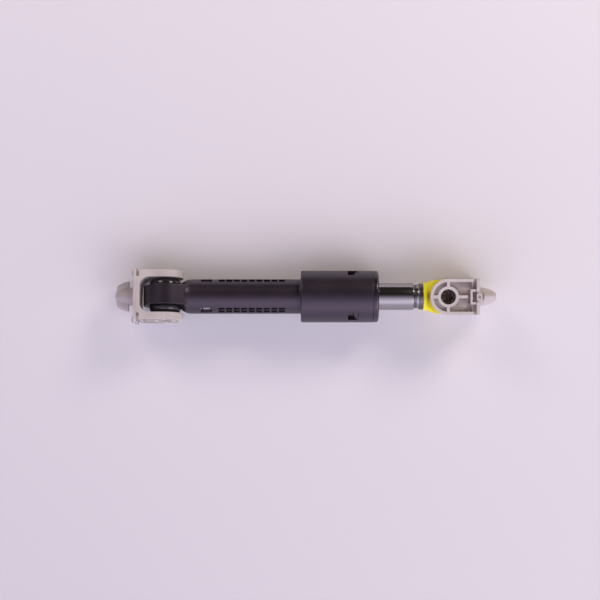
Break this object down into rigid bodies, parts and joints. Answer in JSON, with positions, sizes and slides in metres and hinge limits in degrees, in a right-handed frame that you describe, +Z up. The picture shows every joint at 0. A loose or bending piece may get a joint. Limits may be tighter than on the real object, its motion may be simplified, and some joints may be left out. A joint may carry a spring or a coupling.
{
  "type": "washing machine shock absorber",
  "caption": "Telescopic friction damper: black slotted tube with a wide friction head, bright steel rod with a yellow pivot eye, and grey forked feet with bayonet pegs.",
  "frame": {"origin": "on the damper's axis, in the plane of the housing foot's seat, where its flange meets the sheet that it is locked into", "axes": "+X along the damper's axis from the housing foot to the rod foot, +Z up and along the rod foot's pivot pin, +Y across"},
  "size_m": [0.2536, 0.0386, 0.0354],
  "materials": {
    "black_plastic": "satin glass-filled moulding",
    "yellow_plastic": "semi-gloss moulding",
    "grey_plastic": "fine matt moulding",
    "white_plastic": "natural moulding",
    "rubber": "moulded rubber",
    "lining_foam": "greased foam",
    "plated_steel": "bright plated",
    "sleeve_steel": "drawn",
    "dark_steel": "black oxide, oiled"
  },
  "bodies": {
    "housing": {"housing": "black_plastic", "end_cap": "black_plastic", "rear_buffer": "rubber", "front_buffer": "rubber", "housing_bush": "rubber", "housing_bush_sleeve": "sleeve_steel"},
    "housing_foot": {"housing_yoke": "grey_plastic", "housing_pivot_pin": "dark_steel"},
    "friction_unit": {"lining_carrier": "white_plastic", "carrier_lid": "white_plastic"},
    "linings": {"rear_lining": "lining_foam", "front_lining": "lining_foam"},
    "rod": {"rod_tube": "plated_steel", "rod_guide": "white_plastic", "rod_end": "yellow_plastic", "rod_bush": "rubber", "rod_bush_sleeve": "sleeve_steel"},
    "rod_foot": {"rod_yoke": "grey_plastic", "rod_pivot_pin": "dark_steel"}
  },
  "joints": [
    {"name": "housing_pivot", "type": "hinge", "parent": "housing", "child": "housing_foot", "pos_m": [0.0205, 0, 0], "axis": [0, 0.9863, -0.165], "range_deg": [-90, 90]},
    {"name": "friction_unit_float", "type": "slide", "parent": "housing", "child": "friction_unit", "axis": [1, 0, 0], "range_m": [-0.003, 0.003]},
    {"name": "rod_swivel", "type": "hinge", "parent": "friction_unit", "child": "linings", "pos_m": [0.1364, 0, 0], "axis": [1, 0, 0], "continuous": true},
    {"name": "rod_stroke", "type": "slide", "parent": "linings", "child": "rod", "axis": [1, 0, 0], "range_m": [-0.0035, 0.06]},
    {"name": "rod_pivot", "type": "hinge", "parent": "rod", "child": "rod_foot", "pos_m": [0.2077, 0, 0], "axis": [0, 0, 1], "range_deg": [-90, 90]}
  ]
}
